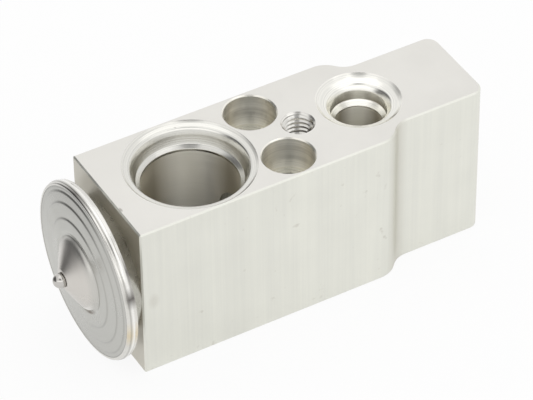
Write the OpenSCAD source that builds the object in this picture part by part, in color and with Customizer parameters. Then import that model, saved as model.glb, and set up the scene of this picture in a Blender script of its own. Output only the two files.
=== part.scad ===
// Block-type thermostatic expansion valve with its power head.
// X runs along the valve from the head to the narrow end, Z from the evaporator face up to the pipe face.
// The origin lies midway between the two fixing holes, on the evaporator face.

/* [Block] */
// Length from the head end to the narrow end
body_len = 78; // [76:0.5:84]
// Width of the wide part
body_w = 26.8; // [26.4:0.1:30]
// Thickness from the evaporator face to the pipe face
body_t = 35; // [34.5:0.5:40]
// Height of the valve's axis above the evaporator face
axis_z = 18.3; // [17.8:0.1:18.6]
// Width of the narrow part
neck_w = 19.6; // [18.6:0.1:22]
// Distance from the narrow end to the start of the shoulders
shoulder_from_end = 25.3; // [23:0.1:27]
// Radius of the rounded shoulder
shoulder_r = 5.4; // [4:0.1:7]
// Radius of the hollow that leads the shoulder into the narrow part
hollow_r = 4.6; // [3:0.1:6]
// Corner radius of the narrow end
end_corner_r = 2.4; // [1:0.1:4]
// Width of the broken edges all round
edge_break = 0.3; // [0.1:0.05:0.4]

/* [Suction ports] */
// Distance from the head end to the suction passage
suction_x = 18; // [17.8:0.1:18.4]
// Bore of the suction passage
suction_bore_d = 19.1; // [17:0.1:19.6]
// Diameter of the wall that the pipe's seal runs in
suction_seal_d = 22.2; // [21:0.1:23]
// Depth of the floor of that wall below the face
suction_seal_depth = 4.9; // [4.4:0.1:5.5]
// Diameter of the shallow pocket for the pipe's flange
suction_spot_d = 25.5; // [24.5:0.1:25.6]
// Depth of that pocket
suction_spot_depth = 1.75; // [1:0.05:2.2]
// Height of the cone that leads the seal in
suction_lead = 1.1; // [0.5:0.05:1.5]
// Width of the bevel at the mouth
suction_bevel = 0.3; // [0.1:0.05:0.3]

/* [Liquid ports] */
// Distance from the narrow end to the liquid inlet on the pipe face
inlet_from_end = 22.7; // [21.5:0.1:23.1]
// Distance from the inlet back to the outlet on the evaporator face
outlet_offset = 9.8; // [9.4:0.1:10.2]
// Bore of the liquid ports
liquid_bore_d = 9.2; // [8:0.1:9.6]
// Diameter of the wall that the pipe's seal runs in
liquid_seal_d = 12.7; // [12:0.1:13.5]
// Depth of the floor of that wall below the face
liquid_seal_depth = 5.1; // [4.6:0.1:5.6]
// Diameter of the shallow pocket at the mouth
liquid_spot_d = 15.5; // [14.5:0.1:15.8]
// Depth of that pocket
liquid_spot_depth = 1.4; // [1.1:0.05:1.8]
// Height of the cone that leads the seal in
liquid_lead = 1.2; // [0.5:0.05:1.6]
// Width of the bevel at the mouth
liquid_bevel = 0.7; // [0.3:0.05:0.8]
// Rise of the cone on the floor round the bore
liquid_floor_rise = 0.4; // [0.1:0.05:0.8]

/* [Fixings] */
// Distance from the head end to the two fixing holes
fix_x = 35.3; // [35.1:0.1:35.5]
// Distance between the two fixing holes
fix_pitch = 14.8; // [14.4:0.1:15.2]
// Diameter of the fixing holes
fix_hole_d = 6.6; // [5.5:0.1:6.8]
// Diameter of the pockets for the screw heads
fix_head_d = 10.3; // [9.8:0.1:10.5]
// Depth of those pockets
fix_head_depth = 7.2; // [5:0.1:8]
// Bevel at the mouths of the fixing holes
fix_bevel = 0.25; // [0.1:0.05:0.3]
// Distance from the head end to the clamp screw's threaded hole
clamp_x = 41.7; // [41.4:0.1:42.2]
// Thread diameter of the clamp screw
clamp_thread_d = 6; // [5:0.5:6]
// Tapping drill for that thread
clamp_drill_d = 5; // [4.2:0.1:5]
// Depth of the thread
clamp_thread_depth = 10.8; // [8:0.1:11]
// Depth of the drilled hole without its tip
clamp_drill_depth = 12.6; // [11.5:0.1:12.8]
// Width of the bevel at the mouth
clamp_bevel = 0.4; // [0.2:0.05:0.6]

/* [Power head] */
// Diameter of the head over its rim
head_d = 36.4; // [34:0.1:36.5]
// Gap between the block and the rim
rim_gap = 3.35; // [3:0.05:4]
// Thickness of the cap's sheet
cap_t = 0.9; // [0.7:0.05:1.1]
// Thickness of the base's sheet
base_t = 1.1; // [0.9:0.05:1.3]
// Thickness of the diaphragm
diaphragm_t = 0.2; // [0.1:0.05:0.3]
// Radial width of the clamped rim
rim_land = 2.6; // [2:0.1:3]
// How far the weld's crown stands out from the two sheets
weld_crown = 0.2; // [0.1:0.05:0.3]
// Width of the weld
weld_w = 1; // [0.7:0.1:1.2]
// How deep the weld bites into the seam
weld_depth = 0.3; // [0.2:0.05:0.6]
// Diameter of the outer step in the cap
outer_step_d = 32.6; // [32:0.1:33]
// Diameter of the middle step in the cap
middle_step_d = 28.2; // [27.5:0.1:29]
// Diameter of the inner step in the cap
inner_step_d = 21.9; // [21:0.1:23]
// Height of each step
step_h = 0.18; // [0.1:0.01:0.25]
// Height that the cap gains between one step and the next
step_rise = 0.16; // [0.05:0.01:0.25]
// Diameter of the foot of the dome
dome_foot_d = 16.5; // [15:0.1:17]
// Diameter of the flat at the dome's tip
dome_tip_d = 4; // [3.6:0.1:4.6]
// Height of the dome over its foot
dome_h = 3.4; // [2.5:0.1:4]
// Radius of the dome's flank
dome_r = 11.8; // [10:0.1:20]
// Diameter of the ball that closes the charging hole
charge_ball_d = 3; // [2.5:0.1:3.2]
// Height of that ball's centre over the tip of the dome
charge_ball_out = 0.5; // [0.2:0.05:0.8]
// Diameter of the charging hole
charge_hole_d = 1.8; // [1.2:0.1:2]
// Outer diameter of the neck that screws into the block
neck_thread_d = 20; // [19:0.1:20.5]
// Wall of that neck
neck_wall = 3; // [2:0.1:3.5]
// Length of that neck in the block
neck_len = 6.4; // [5:0.1:6.6]
// Radial width of the flat that seats on the block round the neck
seat_flat_w = 3.1; // [2.5:0.1:4]
// Radial width of the groove for the head's seal
head_groove_w = 2.3; // [2:0.1:2.6]
// Radial width of the knuckle where that flat turns up into the wall
knuckle_w = 0.7; // [0.4:0.1:1]
// Thickness of the diaphragm stop
stop_t = 1.6; // [1:0.1:2]
// Wall of the stop's boss round the rod
stop_boss_wall = 1.7; // [1:0.1:2.5]
// Length of that boss
stop_boss_len = 2.2; // [1.5:0.1:2.4]
// Diameter of the diaphragm stop
stop_d = 21.6; // [18:0.1:22]
// Height of the waves in the diaphragm
wave_h = 0.25; // [0.1:0.05:0.3]

/* [Rod and pin] */
// Diameter of the sensing rod
rod_d = 5; // [4.4:0.1:5.4]
// Diameter of the operating pin
pin_d = 2.4; // [2:0.1:2.6]
// Diameter of the bore for the rod's seal
rod_seal_bore_d = 8.6; // [8.4:0.1:9]
// Depth of that bore beyond the suction passage
rod_seal_bore_depth = 3.5; // [3.3:0.1:3.8]
// Wall between the end of the rod's guide and the outlet bore
rod_guide_wall = 3.45; // [3:0.05:4]
// Free travel left in front of the rod in its guide
rod_end_room = 1.9; // [1.4:0.1:2.4]
// Depth of the hole in the rod that takes the pin
pin_socket = 2.5; // [1.5:0.1:4]
// Thickness of the backup washer
backup_t = 0.7; // [0.5:0.05:0.8]
// Thickness of the toothed retainer
retainer_t = 0.45; // [0.3:0.05:0.5]

/* [Valve seat and spring] */
// Diameter of the metering hole
orifice_d = 3.5; // [3:0.1:3.8]
// Outer diameter of the orifice ring
orifice_ring_d = 7; // [6:0.1:7.4]
// Thickness of the orifice ring
orifice_ring_t = 1.9; // [1.2:0.1:2.1]
// Wall between the outlet bore and the valve chamber
seat_wall = 2.5; // [2.3:0.1:3]
// Diameter of the valve ball
valve_ball_d = 4.76; // [4.4:0.02:5]
// Travel of the valve from shut to fully open
stroke = 0.8; // [0.4:0.1:1]
// Diameter of the valve chamber
chamber_d = 12.4; // [12:0.1:12.8]
// Diameter of the ball holder's flange
holder_d = 9.6; // [9:0.1:10]
// Thickness of the ball holder's flange
holder_t = 2.4; // [2.2:0.1:3]
// Length of the stem inside the spring
stem_len = 2.6; // [1.5:0.1:3]
// Sheet of the damping ring
damper_t = 0.25; // [0.15:0.05:0.3]
// Length of the damping ring's legs
damper_leg = 5.6; // [3:0.1:6]
// Width of those legs
damper_leg_w = 3.4; // [2:0.1:4]
// Radial depth of the gaps between the legs
damper_gap = 1.1; // [0.6:0.1:1.4]
// Wire diameter of the superheat spring
wire_d = 1.1; // [0.9:0.05:1.2]
// Mean diameter of the superheat spring
spring_d = 7.8; // [7.4:0.1:8.4]
// Turns of the superheat spring
spring_turns = 6; // [4:1:6]

/* [Adjusting screw] */
// Thread diameter of the adjusting screw
screw_thread_d = 14; // [13.4:0.1:14.4]
// Length of the adjusting screw
screw_len = 11; // [10.4:0.1:11.4]
// Length of its threaded part
screw_thread_len = 5.8; // [5:0.1:6.2]
// Depth of the screw's outer face below the end of the block
screw_recess = 0.8; // [0.6:0.1:1.5]
// Width across the flats of the hexagon socket
hex_af = 5; // [4:0.5:6]
// Depth of the hexagon socket
hex_depth = 4.5; // [3:0.1:5]
// Distance from the screw's inner face to the groove for its seal
screw_groove_in = 1.4; // [1:0.1:1.6]
// Length of the peg that centres the spring on the screw
spring_peg = 1.2; // [0.8:0.1:2]
// Most that the screw travels either way from its setting
screw_travel = 0.5; // [0.2:0.1:0.6]

/* [Hidden] */
$fn = 96;

// Clearances
running_gap = 0.05;
touch_gap = 0.02;
past = 1;

// Power head: planes along X, measured from the head end of the block
base_face_x = -rim_gap - base_t;
cap_face_x = base_face_x - diaphragm_t;
rim_front_x = cap_face_x - cap_t;
head_r = head_d / 2;
sheet_r = head_r - weld_crown;
cap_r = sheet_r - touch_gap;
seam_r = sheet_r - weld_depth;
rim_inner_r = head_r - rim_land;
edge_round = 0.4 * cap_t;
step_slope = 0.25;
dome_foot_x = rim_front_x - 3 * (step_h + step_rise);
dome_tip_x = dome_foot_x - dome_h;
charge_ball_x = dome_tip_x - charge_ball_out;
neck_r = neck_thread_d / 2 - running_gap;
neck_bore_r = neck_r - neck_wall;
neck_room = 0.6;
seat_flat_r = neck_thread_d / 2 + seat_flat_w;
head_seal_r = 0.7;
head_groove_r = neck_thread_d / 2 + head_groove_w;

// Places along X that follow the narrow end
shoulder_x = body_len - shoulder_from_end;
inlet_x = body_len - inlet_from_end;
outlet_x = inlet_x - outlet_offset;

// Rod, pin and their seal
rod_seal_floor_x = suction_x + suction_bore_d / 2 + rod_seal_bore_depth;
rod_guide_end_x = outlet_x - liquid_bore_d / 2 - rod_guide_wall;
rod_end_x = rod_guide_end_x - rod_end_room;
rod_start_x = base_face_x + 0.7 * stop_t;
rod_seal_gap = (rod_seal_bore_d - rod_d) / 2;
rod_seal_section_r = rod_seal_gap / 2 - touch_gap;
rod_seal_mid_r = rod_d / 2 + rod_seal_gap / 2;
backup_x = rod_seal_floor_x - 2 * rod_seal_section_r - backup_t;

// Seat, ball and spring
orifice_face_x = outlet_x + liquid_bore_d / 2 + seat_wall;
ball_r = valve_ball_d / 2;
ball_x = orifice_face_x + sqrt(ball_r * ball_r - orifice_d * orifice_d / 4) + touch_gap;
holder_x = ball_x + 0.6;
damper_x = holder_x + holder_t;
spring_x = damper_x + damper_t;
stem_r = (spring_d - wire_d) / 2 - 0.4;

// Adjusting screw
screw_face_x = body_len - screw_recess;
screw_front_x = screw_face_x - screw_len;
screw_step_x = screw_face_x - screw_thread_len;
thread_bore_x = screw_step_x - screw_travel - 0.3;
spring_len = screw_front_x - spring_x;
screw_body_r = chamber_d / 2 - running_gap;
screw_seal_r = 0.75;
screw_groove_r = chamber_d / 2 - 2 * screw_seal_r - running_gap - touch_gap;
screw_groove_w = 2 * screw_seal_r + 0.5;
screw_groove_x = screw_front_x + screw_groove_in;

function arc(cx, cy, r, a0, a1, n) =
    [for (i = [0 : n]) let (a = a0 + (a1 - a0) * i / n) [cx + r * cos(a), cy + r * sin(a)]];

// Places a module drawn from the head end of the block in the part's own frame
module on_datum() translate([-fix_x, 0, 0]) children();

// Turns an outline of [radius, distance from the head end] about the valve's axis
module turned(outline) translate([0, 0, axis_z]) rotate([0, 90, 0]) rotate_extrude() polygon(outline);

// Plain round of radius r from x0 to x1 on the valve's axis
module round_bar(r, x0, x1) translate([x0, 0, axis_z]) rotate([0, 90, 0]) cylinder(r = r, h = x1 - x0);

// Ring of round section on the valve's axis
module seal_ring(x, mid_r, section_r) {
    translate([x, 0, axis_z]) rotate([0, 90, 0]) rotate_extrude()
        translate([mid_r, 0]) circle(r = section_r, $fn = 32);
}

// Bar along X with its four long edges broken
module broken_bar(x0, x1, w) {
    c = edge_break;
    translate([x0, 0, 0]) rotate([90, 0, 90]) linear_extrude(x1 - x0) polygon([
        [c - w / 2, 0], [w / 2 - c, 0], [w / 2, c], [w / 2, body_t - c],
        [w / 2 - c, body_t], [c - w / 2, body_t], [-w / 2, body_t - c], [-w / 2, c]
    ]);
}

// Upright round post with both rims broken
module broken_post(x, y, r) {
    c = edge_break;
    translate([x, y, 0]) rotate_extrude() polygon([
        [0, 0], [r - c, 0], [r, c], [r, body_t - c], [r - c, body_t], [0, body_t]
    ]);
}

// Upright round cutter that leaves broken rims
module hollow_cutter(x, y, r) {
    c = edge_break + past;
    translate([x, y, 0]) rotate_extrude() polygon([
        [0, -past], [r + c, -past], [r, edge_break], [r, body_t - edge_break], [r + c, body_t + past],
        [0, body_t + past]
    ]);
}

// One shoulder: a round corner that runs into a hollow without a kink
module shoulder_blank() {
    reach = shoulder_r + hollow_r;
    rise = (body_w - neck_w) / 2;
    turn = acos((reach - rise) / reach);
    corner_y = body_w / 2 - shoulder_r;
    tangent_x = shoulder_x + shoulder_r * sin(turn);
    tangent_y = corner_y + shoulder_r * cos(turn);
    hollow_x = shoulder_x + reach * sin(turn);
    difference() {
        union() {
            broken_post(shoulder_x, corner_y, shoulder_r);
            linear_extrude(body_t) polygon([
                [shoulder_x - past, 0], [shoulder_x - past, corner_y], [shoulder_x, corner_y],
                [tangent_x, tangent_y], [hollow_x, tangent_y], [hollow_x, 0]
            ]);
        }
        hollow_cutter(hollow_x, neck_w / 2 + hollow_r, hollow_r);
    }
}

// Narrow end with its two round corners
module narrow_end() {
    c = edge_break;
    corner_x = body_len - end_corner_r;
    corner_y = neck_w / 2 - end_corner_r;
    translate([0, corner_y, 0]) rotate([90, 0, 0]) linear_extrude(2 * corner_y) polygon([
        [corner_x - past, 0], [body_len - c, 0], [body_len, c], [body_len, body_t - c],
        [body_len - c, body_t], [corner_x - past, body_t]
    ]);
    for (side = [-1, 1]) broken_post(corner_x, side * corner_y, end_corner_r);
}

// Breaks one edge that runs along Z from the origin
module edge_cutter(len) {
    c = edge_break + past;
    linear_extrude(len) polygon([[-past, -past], [c, -past], [-past, c]]);
}

// Breaks the four edges of the head end
module head_end_edges() {
    for (side = [0, 1]) {
        mirror([0, side, 0]) translate([0, -body_w / 2, -past]) edge_cutter(body_t + 2 * past);
        translate([0, 0, side * body_t]) mirror([0, 0, side]) translate([0, body_w / 2 + past, 0])
            rotate([90, 0, 0]) edge_cutter(body_w + 2 * past);
    }
}

module block_blank() {
    difference() {
        union() {
            broken_bar(0, shoulder_x, body_w);
            broken_bar(shoulder_x - past, body_len - end_corner_r, neck_w);
            for (side = [0, 1]) mirror([0, side, 0]) shoulder_blank();
            narrow_end();
        }
        head_end_edges();
    }
}

// Stepped mouth of a port, cut downwards from the plane z = 0
module port_mouth(spot_d, bevel, spot_depth, seal_d, lead, seal_depth, bore_d, floor_rise) {
    rotate_extrude() polygon([
        [0, past], [spot_d / 2 + bevel + past, past], [spot_d / 2, -bevel], [spot_d / 2, -spot_depth],
        [seal_d / 2, -spot_depth - lead], [seal_d / 2, -seal_depth], [bore_d / 2, -seal_depth - floor_rise],
        [0, -seal_depth - floor_rise]
    ]);
}

module suction_mouth() {
    port_mouth(suction_spot_d, suction_bevel, suction_spot_depth, suction_seal_d, suction_lead,
        suction_seal_depth, suction_bore_d, 0);
}

module liquid_mouth() {
    port_mouth(liquid_spot_d, liquid_bevel, liquid_spot_depth, liquid_seal_d, liquid_lead,
        liquid_seal_depth, liquid_bore_d, liquid_floor_rise);
}

module suction_passage() {
    translate([suction_x, 0, body_t]) suction_mouth();
    translate([suction_x, 0, 0]) rotate([180, 0, 0]) suction_mouth();
    translate([suction_x, 0, suction_seal_depth - past])
        cylinder(d = suction_bore_d, h = body_t - 2 * (suction_seal_depth - past));
}

// Liquid inlet from the pipe face into the valve chamber
module inlet_passage() {
    foot_z = axis_z + orifice_ring_d / 2 + 1;
    translate([inlet_x, 0, body_t]) liquid_mouth();
    translate([inlet_x, 0, foot_z]) cylinder(d = liquid_bore_d, h = body_t - liquid_seal_depth - foot_z + past);
}

// Outlet from the orifice to the evaporator face, with the drill's tip at its top
module outlet_passage() {
    top_z = axis_z + 1;
    translate([outlet_x, 0, 0]) rotate([180, 0, 0]) liquid_mouth();
    translate([outlet_x, 0, liquid_seal_depth - past])
        cylinder(d = liquid_bore_d, h = top_z - liquid_seal_depth + past);
    translate([outlet_x, 0, top_z]) cylinder(r1 = liquid_bore_d / 2, r2 = 0, h = 0.3 * liquid_bore_d);
}

module fixing_hole() {
    r = fix_hole_d / 2;
    head_r = fix_head_d / 2;
    translate([0, 0, -past]) cylinder(r = r, h = body_t + 2 * past);
    translate([0, 0, -past]) cylinder(r1 = r + fix_bevel + past, r2 = r, h = fix_bevel + past);
    translate([0, 0, body_t - fix_head_depth]) cylinder(r = head_r, h = fix_head_depth + past);
    translate([0, 0, body_t - fix_bevel]) cylinder(r1 = head_r, r2 = head_r + fix_bevel + past, h = fix_bevel + past);
}

// Threaded hole for the clamp screw, drawn at the root of its thread
module clamp_hole() {
    r = clamp_thread_d / 2;
    drill_r = clamp_drill_d / 2;
    translate([clamp_x, 0, body_t]) {
        translate([0, 0, -clamp_thread_depth]) cylinder(r = r, h = clamp_thread_depth + past);
        translate([0, 0, -clamp_drill_depth]) cylinder(r = drill_r, h = clamp_drill_depth);
        translate([0, 0, -clamp_drill_depth - 0.6 * drill_r]) cylinder(r1 = 0, r2 = drill_r, h = 0.6 * drill_r);
        translate([0, 0, -clamp_bevel]) cylinder(r1 = r, r2 = r + clamp_bevel + past, h = clamp_bevel + past);
    }
}

// Socket for the neck of the power head, open to the suction passage
module head_socket() {
    round_bar(neck_thread_d / 2, -past, neck_len + neck_room);
    round_bar(head_groove_r, -past, 2 * head_seal_r);
    round_bar(neck_bore_r - 0.5, neck_len, suction_x);
}

// Everything bored along the valve's axis from the suction passage to the narrow end
module axis_bores() {
    bore_r = screw_thread_d / 2;
    mouth = 0.5;
    round_bar(rod_seal_bore_d / 2, suction_x, rod_seal_floor_x);
    round_bar(rod_d / 2 + running_gap, suction_x, rod_guide_end_x);
    round_bar(pin_d / 2 + running_gap, rod_guide_end_x - past, outlet_x);
    round_bar(orifice_d / 2, outlet_x, orifice_face_x);
    round_bar(orifice_ring_d / 2, orifice_face_x - orifice_ring_t, orifice_face_x + past);
    round_bar(chamber_d / 2, orifice_face_x, thread_bore_x + past);
    round_bar(bore_r, thread_bore_x, body_len + past);
    turned([[0, body_len - mouth], [bore_r, body_len - mouth], [bore_r + mouth + past, body_len + past],
        [0, body_len + past]]);
}

module valve_block() {
    color([0.88, 0.88, 0.86]) on_datum() difference() {
        block_blank();
        suction_passage();
        inlet_passage();
        outlet_passage();
        for (side = [-1, 1]) translate([fix_x, side * fix_pitch / 2, 0]) fixing_hole();
        clamp_hole();
        head_socket();
        axis_bores();
    }
}

// Height of the cap over the front of the rim at the outer edge of each step
function step_start_h(i) = i * (step_h + step_rise);

// One step of the cap: up by its height over a short slope
function cap_step(d, i) = [
    [d / 2 + step_slope, rim_front_x - step_start_h(i)],
    [d / 2, rim_front_x - step_start_h(i) - step_h]
];

// Flank of the dome as an arc between its foot and its tip, drawn a distance under the outer skin
function dome_flank(under, outward) = let (
    foot_r = dome_foot_d / 2,
    run = foot_r - dome_tip_d / 2,
    lean = atan2(dome_h, run),
    half = asin(norm([run, dome_h]) / 2 / dome_r),
    foot_a = lean + half - 90,
    tip_a = lean - half - 90
) arc(foot_r - dome_r * cos(foot_a), dome_foot_x - dome_r * sin(foot_a), dome_r - under,
    outward ? foot_a : tip_a, outward ? tip_a : foot_a, 8);

module head_cap() {
    outer = concat(
        [[cap_r, cap_face_x]],
        arc(cap_r - edge_round, rim_front_x + edge_round, edge_round, 0, -90, 5),
        cap_step(outer_step_d, 0), cap_step(middle_step_d, 1), cap_step(inner_step_d, 2),
        dome_flank(0, true)
    );
    inner = concat(
        [[charge_hole_d / 2, dome_tip_x], [charge_hole_d / 2, dome_tip_x + 1.5 * cap_t]],
        dome_flank(cap_t, false),
        [
            [inner_step_d / 2, rim_front_x + cap_t - step_start_h(2)],
            [rim_inner_r - 0.8, rim_front_x + cap_t - step_h], [rim_inner_r, cap_face_x]
        ]
    );
    color([0.74, 0.74, 0.71]) on_datum() difference() {
        turned(concat(outer, inner));
        translate([charge_ball_x, 0, axis_z]) sphere(d = charge_ball_d);
    }
}

module charge_ball() {
    color([0.80, 0.80, 0.80]) on_datum() translate([charge_ball_x, 0, axis_z]) sphere(d = charge_ball_d);
}

module head_base() {
    c = 0.25;
    floor_r = seat_flat_r - knuckle_w;
    seam_x = (base_face_x + cap_face_x) / 2;
    crown = [for (i = [0 : 10]) let (a = 18 * i) [sheet_r + weld_crown * sin(a), seam_x + weld_w / 2 * cos(a)]];
    color([0.76, 0.76, 0.74]) on_datum() turned(concat(
        arc(sheet_r - c, -rim_gap - c, c, 90, 0, 4), crown,
        [
            [sheet_r, cap_face_x], [seam_r, cap_face_x], [seam_r, base_face_x], [rim_inner_r, base_face_x],
            [floor_r, -base_t], [neck_bore_r, -base_t], [neck_bore_r, neck_len], [neck_r - 2 * c, neck_len],
            [neck_r, neck_len - 2 * c], [neck_r, 0], [seat_flat_r, 0], [rim_inner_r + 0.6, -rim_gap]
        ]
    ));
}

// Diaphragm: flat where it is clamped and where it bears on the stop, with waves between
module diaphragm() {
    wave_in = stop_d / 2 + 0.4;
    wave_out = rim_inner_r - 0.4;
    n = 16;
    rear = [for (i = [0 : n]) [wave_in + (wave_out - wave_in) * i / n, base_face_x - wave_h * pow(sin(360 * i / n), 2)]];
    front = [for (i = [n : -1 : 0]) [rear[i][0], rear[i][1] - diaphragm_t]];
    color([0.80, 0.80, 0.78]) on_datum() turned(concat(
        [[0, base_face_x]], rear, [[seam_r - touch_gap, base_face_x], [seam_r - touch_gap, cap_face_x]],
        front, [[0, cap_face_x]]
    ));
}

// Pressure disc under the diaphragm, with the boss that holds the rod
module diaphragm_stop() {
    back_x = base_face_x + stop_t;
    boss_r = rod_d / 2 + stop_boss_wall;
    boss_x = back_x + stop_boss_len;
    bevel = 0.3;
    color([0.78, 0.72, 0.52]) on_datum() difference() {
        turned([
            [0, base_face_x], [stop_d / 2 - bevel, base_face_x], [stop_d / 2, base_face_x + bevel],
            [stop_d / 2, back_x - bevel], [stop_d / 2 - bevel, back_x], [boss_r, back_x], [boss_r, boss_x - bevel],
            [boss_r - bevel, boss_x], [0, boss_x]
        ]);
        round_bar(rod_d / 2, rod_start_x, boss_x + past);
    }
}

module head_seal_ring() {
    color([0.10, 0.22, 0.14]) on_datum() seal_ring(head_seal_r, (neck_thread_d / 2 + head_groove_r) / 2, head_seal_r);
}

module sensing_rod() {
    bevel = 0.3;
    r = rod_d / 2;
    color([0.85, 0.85, 0.83]) on_datum() turned([
        [0, rod_start_x], [r, rod_start_x], [r, rod_end_x - bevel], [r - bevel, rod_end_x], [pin_d / 2, rod_end_x],
        [pin_d / 2, rod_end_x - pin_socket], [0, rod_end_x - pin_socket]
    ]);
}

module rod_seal_ring() {
    color([0.10, 0.22, 0.14]) on_datum()
        seal_ring(rod_seal_floor_x - rod_seal_section_r, rod_seal_mid_r, rod_seal_section_r);
}

module rod_backup_washer() {
    color([0.92, 0.91, 0.87]) on_datum() turned([
        [rod_d / 2 + running_gap, backup_x], [rod_seal_bore_d / 2 - touch_gap, backup_x],
        [rod_seal_bore_d / 2 - touch_gap, backup_x + backup_t], [rod_d / 2 + running_gap, backup_x + backup_t]
    ]);
}

// Push-in ring whose teeth face the rod
module rod_seal_retainer() {
    outer_r = rod_seal_bore_d / 2 - touch_gap;
    inner_r = rod_d / 2 + 2 * running_gap;
    x = backup_x - retainer_t;
    teeth = 6;
    slot_w = 0.7;
    color([0.62, 0.62, 0.60]) on_datum() difference() {
        round_bar(outer_r, x, backup_x);
        round_bar(inner_r, x - past, backup_x + past);
        for (i = [0 : teeth - 1]) translate([x - past, 0, axis_z]) rotate([i * 360 / teeth, 0, 0])
            translate([0, -slot_w / 2, 0]) cube([retainer_t + 2 * past, slot_w, outer_r - 0.6]);
    }
}

module operating_pin() {
    color([0.78, 0.78, 0.78]) on_datum() round_bar(pin_d / 2, rod_end_x - pin_socket, ball_x - ball_r);
}

module orifice_ring() {
    x = orifice_face_x - orifice_ring_t;
    color([0.70, 0.70, 0.70]) on_datum() turned([
        [orifice_d / 2, x], [orifice_ring_d / 2, x], [orifice_ring_d / 2, orifice_face_x], [orifice_d / 2, orifice_face_x]
    ]);
}

module valve_ball() {
    color([0.80, 0.80, 0.82]) on_datum() translate([ball_x, 0, axis_z]) sphere(r = ball_r);
}

module ball_holder() {
    bevel = 0.4;
    r = holder_d / 2;
    color([0.80, 0.70, 0.42]) on_datum() difference() {
        turned([
            [0, holder_x], [r - bevel, holder_x], [r, holder_x + bevel], [r, damper_x], [stem_r, damper_x],
            [stem_r, damper_x + stem_len], [0, damper_x + stem_len]
        ]);
        translate([ball_x, 0, axis_z]) sphere(r = ball_r);
    }
}

// Washer with three legs that bear on the wall of the chamber
module damping_ring() {
    outer_r = chamber_d / 2 - running_gap;
    inner_r = outer_r - damper_gap;
    legs = 3;
    half = 180 / legs - asin(damper_leg_w / 2 / outer_r);
    up = 90;
    gap_outline = concat(arc(0, 0, inner_r, up - half, up + half, 8), arc(0, 0, 2 * outer_r, up + half, up - half, 4));
    color([0.66, 0.66, 0.64]) on_datum() {
        difference() {
            round_bar(outer_r, damper_x, damper_x + damper_leg);
            round_bar(outer_r - damper_t, damper_x + damper_t, damper_x + damper_leg + past);
            round_bar(stem_r + running_gap, damper_x - past, damper_x + damper_t + past);
            for (i = [0 : legs - 1]) translate([damper_x - past, 0, axis_z]) rotate([i * 360 / legs, 0, 0])
                rotate([90, 0, 90]) linear_extrude(damper_leg + 2 * past) polygon(gap_outline);
        }
    }
}

// Height of the wire's centre along the spring after t turns, with a closed turn at each end
function wire_rise(t) = let (
    closed = 1.02 * wire_d,
    open = (spring_len - wire_d - 2 * closed) / (spring_turns - 2)
) wire_d / 2 + closed * min(t, 1) + open * min(max(t - 1, 0), spring_turns - 2) + closed * max(t - spring_turns + 1, 0);

module superheat_spring() {
    sides = 8;
    steps = 24 * spring_turns;
    points = [for (i = [0 : steps]) let (t = i * spring_turns / steps, a = 360 * t) for (k = [0 : sides - 1])
        let (b = 360 * k / sides, r = spring_d / 2 + wire_d / 2 * cos(b))
        [spring_x + wire_rise(t) + wire_d / 2 * sin(b), r * cos(a), r * sin(a)]];
    walls = [for (i = [0 : steps - 1]) for (k = [0 : sides - 1]) let (a = i * sides, b = a + sides, n = (k + 1) % sides)
        [a + k, b + k, b + n, a + n]];
    ends = [[for (k = [0 : sides - 1]) k], [for (k = [sides - 1 : -1 : 0]) steps * sides + k]];
    color([0.60, 0.60, 0.62]) on_datum() translate([0, 0, axis_z]) polyhedron(points, concat(walls, ends));
}

module adjusting_screw() {
    r = screw_thread_d / 2 - running_gap;
    bevel = 0.5;
    groove_end_x = screw_groove_x + screw_groove_w;
    color([0.86, 0.80, 0.55]) on_datum() difference() {
        turned([
            [0, screw_front_x - spring_peg], [stem_r, screw_front_x - spring_peg], [stem_r, screw_front_x],
            [screw_body_r - bevel, screw_front_x], [screw_body_r, screw_front_x + bevel],
            [screw_body_r, screw_groove_x], [screw_groove_r, screw_groove_x], [screw_groove_r, groove_end_x],
            [screw_body_r, groove_end_x], [screw_body_r, screw_step_x], [r, screw_step_x],
            [r, screw_face_x - bevel], [r - bevel, screw_face_x], [0, screw_face_x]
        ]);
        translate([screw_face_x - hex_depth, 0, axis_z]) rotate([0, 90, 0])
            cylinder(d = hex_af / cos(30), h = hex_depth + past, $fn = 6);
    }
}

module screw_seal_ring() {
    color([0.10, 0.22, 0.14]) on_datum()
        seal_ring(screw_groove_x + screw_groove_w / 2, chamber_d / 2 - touch_gap - screw_seal_r, screw_seal_r);
}

valve_block();
head_cap();
charge_ball();
head_base();
diaphragm();
diaphragm_stop();
head_seal_ring();
sensing_rod();
rod_seal_ring();
rod_backup_washer();
rod_seal_retainer();
operating_pin();
orifice_ring();
valve_ball();
ball_holder();
damping_ring();
superheat_spring();
adjusting_screw();
screw_seal_ring();
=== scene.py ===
import bmesh
import bpy
import math
from mathutils import Matrix, Vector


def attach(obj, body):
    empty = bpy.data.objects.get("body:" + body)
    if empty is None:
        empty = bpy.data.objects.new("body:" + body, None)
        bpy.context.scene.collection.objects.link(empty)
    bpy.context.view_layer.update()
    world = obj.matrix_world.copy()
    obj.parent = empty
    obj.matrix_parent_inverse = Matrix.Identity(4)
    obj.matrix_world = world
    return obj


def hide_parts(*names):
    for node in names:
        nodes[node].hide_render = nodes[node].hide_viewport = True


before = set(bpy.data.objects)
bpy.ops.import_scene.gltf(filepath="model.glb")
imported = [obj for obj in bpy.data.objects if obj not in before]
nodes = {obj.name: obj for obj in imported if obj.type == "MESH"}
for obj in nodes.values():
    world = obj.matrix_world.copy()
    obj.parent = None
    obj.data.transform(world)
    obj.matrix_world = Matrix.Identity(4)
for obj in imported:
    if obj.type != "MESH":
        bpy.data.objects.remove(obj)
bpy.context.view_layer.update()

MM = 0.001
MICRON = 0.000001

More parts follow.
